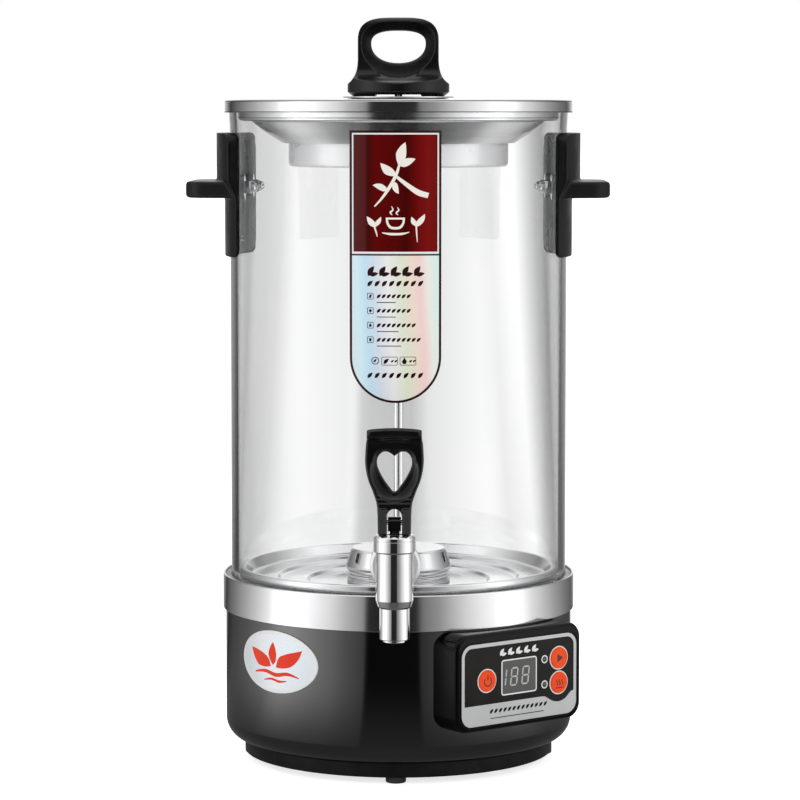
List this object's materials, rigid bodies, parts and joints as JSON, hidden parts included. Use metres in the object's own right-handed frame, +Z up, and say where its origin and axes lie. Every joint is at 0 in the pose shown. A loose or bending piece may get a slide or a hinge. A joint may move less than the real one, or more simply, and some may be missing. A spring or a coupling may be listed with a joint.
{
  "type": "tea brewer",
  "caption": "Tea brewer with a clear glass barrel on a heated round base, a lever tap, a lift-out tea basket, a lid with a loop knob and a push-button panel.",
  "frame": {"origin": "on the floor under the middle of the glass barrel, the centre of the ring of feet", "axes": "+Z up, -Y towards the tap and the user, +X to the right as the user sees it"},
  "size_m": [0.274, 0.2698, 0.4845],
  "materials": {
    "clear_glass": "clear drawn glass",
    "clear_silicone": "translucent silicone",
    "polished_steel": "mirror polished stainless steel",
    "satin_steel": "satin stainless steel",
    "gloss_black": "piano gloss",
    "satin_black": "fine satin grain",
    "black_rubber": "moulded rubber",
    "chrome_plate": "bright chrome plate",
    "zinc_steel": "zinc plated",
    "cast_aluminium": "as cast",
    "board_green": "laminate with solder mask",
    "component_block": "moulded",
    "nylon_white": "moulded nylon",
    "orange_button": "gloss moulding",
    "panel_film": "printed film",
    "dark_window": "smoked lens",
    "lamp_clear": "clear lens",
    "label_red": "printed film",
    "badge_silver": "satin silver"
  },
  "bodies": {
    "brewer": {"glass_cylinder": "clear_glass", "glass_seal": "clear_silicone", "base_band": "polished_steel", "brewing_pan": "polished_steel", "base_housing": "gloss_black", "bottom_tray": "satin_black", "rubber_feet": "black_rubber", "tie_posts": "zinc_steel", "case_screws": "zinc_steel", "heating_plate": "cast_aluminium", "heater_element": "satin_steel", "heater_switches": "satin_black", "temperature_probe": "satin_steel", "board_standoffs": "nylon_white", "power_board": "board_green", "transformer": "component_block", "power_relay": "component_block", "power_inlet": "satin_black", "inlet_pins": "chrome_plate", "pump_bell": "polished_steel", "riser_tube": "satin_steel", "right_handle": "satin_black", "left_handle": "satin_black", "handle_gaskets": "clear_silicone", "handle_seals": "clear_silicone", "handle_studs": "zinc_steel", "cap_nuts": "chrome_plate", "tap_body": "chrome_plate", "tap_nozzle": "satin_steel", "tap_escutcheon": "chrome_plate", "tap_seals": "clear_silicone", "tap_lock_nut": "chrome_plate", "tap_bonnet": "chrome_plate", "tap_gland": "nylon_white", "tap_spring": "satin_steel", "panel_bezel": "gloss_black", "panel_overlay": "panel_film", "display_window": "dark_window", "display_module": "satin_black", "indicator_lamps": "lamp_clear", "control_board": "board_green", "tact_switches": "satin_black", "panel_screws": "zinc_steel", "front_label": "label_red", "name_badge": "badge_silver"},
    "basket": {"basket_collar": "polished_steel", "tea_basket": "polished_steel", "basket_screen": "satin_steel", "spreader_plate": "satin_steel"},
    "lid": {"lid_shell": "polished_steel", "knob_plate": "satin_steel", "lid_knob": "satin_black", "knob_screw": "zinc_steel"},
    "stem": {"tap_stem": "chrome_plate", "tap_plug": "clear_silicone"},
    "lever": {"tap_lever": "gloss_black", "lever_pin": "chrome_plate"},
    "power_key": {"power_button": "orange_button"},
    "start_key": {"start_button": "orange_button"},
    "warm_key": {"warm_button": "orange_button"}
  },
  "joints": [
    {"name": "basket_lift", "type": "slide", "parent": "brewer", "child": "basket", "axis": [0, 0, 1], "range_m": [0, 0.12]},
    {"name": "lid_lift", "type": "slide", "parent": "basket", "child": "lid", "axis": [0, 0, 1], "range_m": [0, 0.1]},
    {"name": "tap_lever_tilt", "type": "hinge", "parent": "stem", "child": "lever", "pos_m": [0, -0.14, 0.1717], "axis": [1, 0, 0], "range_deg": [0, 30], "stiffness_Nm_per_rad": 0.5, "springref_deg": -11.46},
    {"name": "tap_stem_lift", "type": "slide", "parent": "brewer", "child": "stem", "axis": [0, 0, 1], "range_m": [0, 0.00287], "deforming": ["tap_spring"]},
    {"name": "power_press", "type": "slide", "parent": "brewer", "child": "power_key", "axis": [-0.6293, 0.7771, 0], "range_m": [0, 0.0008], "stiffness_N_per_m": 800, "springref_m": -0.0005},
    {"name": "start_press", "type": "slide", "parent": "brewer", "child": "start_key", "axis": [-0.6293, 0.7771, 0], "range_m": [0, 0.0008], "stiffness_N_per_m": 800, "springref_m": -0.0005},
    {"name": "warm_press", "type": "slide", "parent": "brewer", "child": "warm_key", "axis": [-0.6293, 0.7771, 0], "range_m": [0, 0.0008], "stiffness_N_per_m": 800, "springref_m": -0.0005}
  ],
  "couplings": [
    {"joint": "tap_lever_tilt", "follows": "tap_stem_lift", "rad_per_m": 181.8}
  ]
}
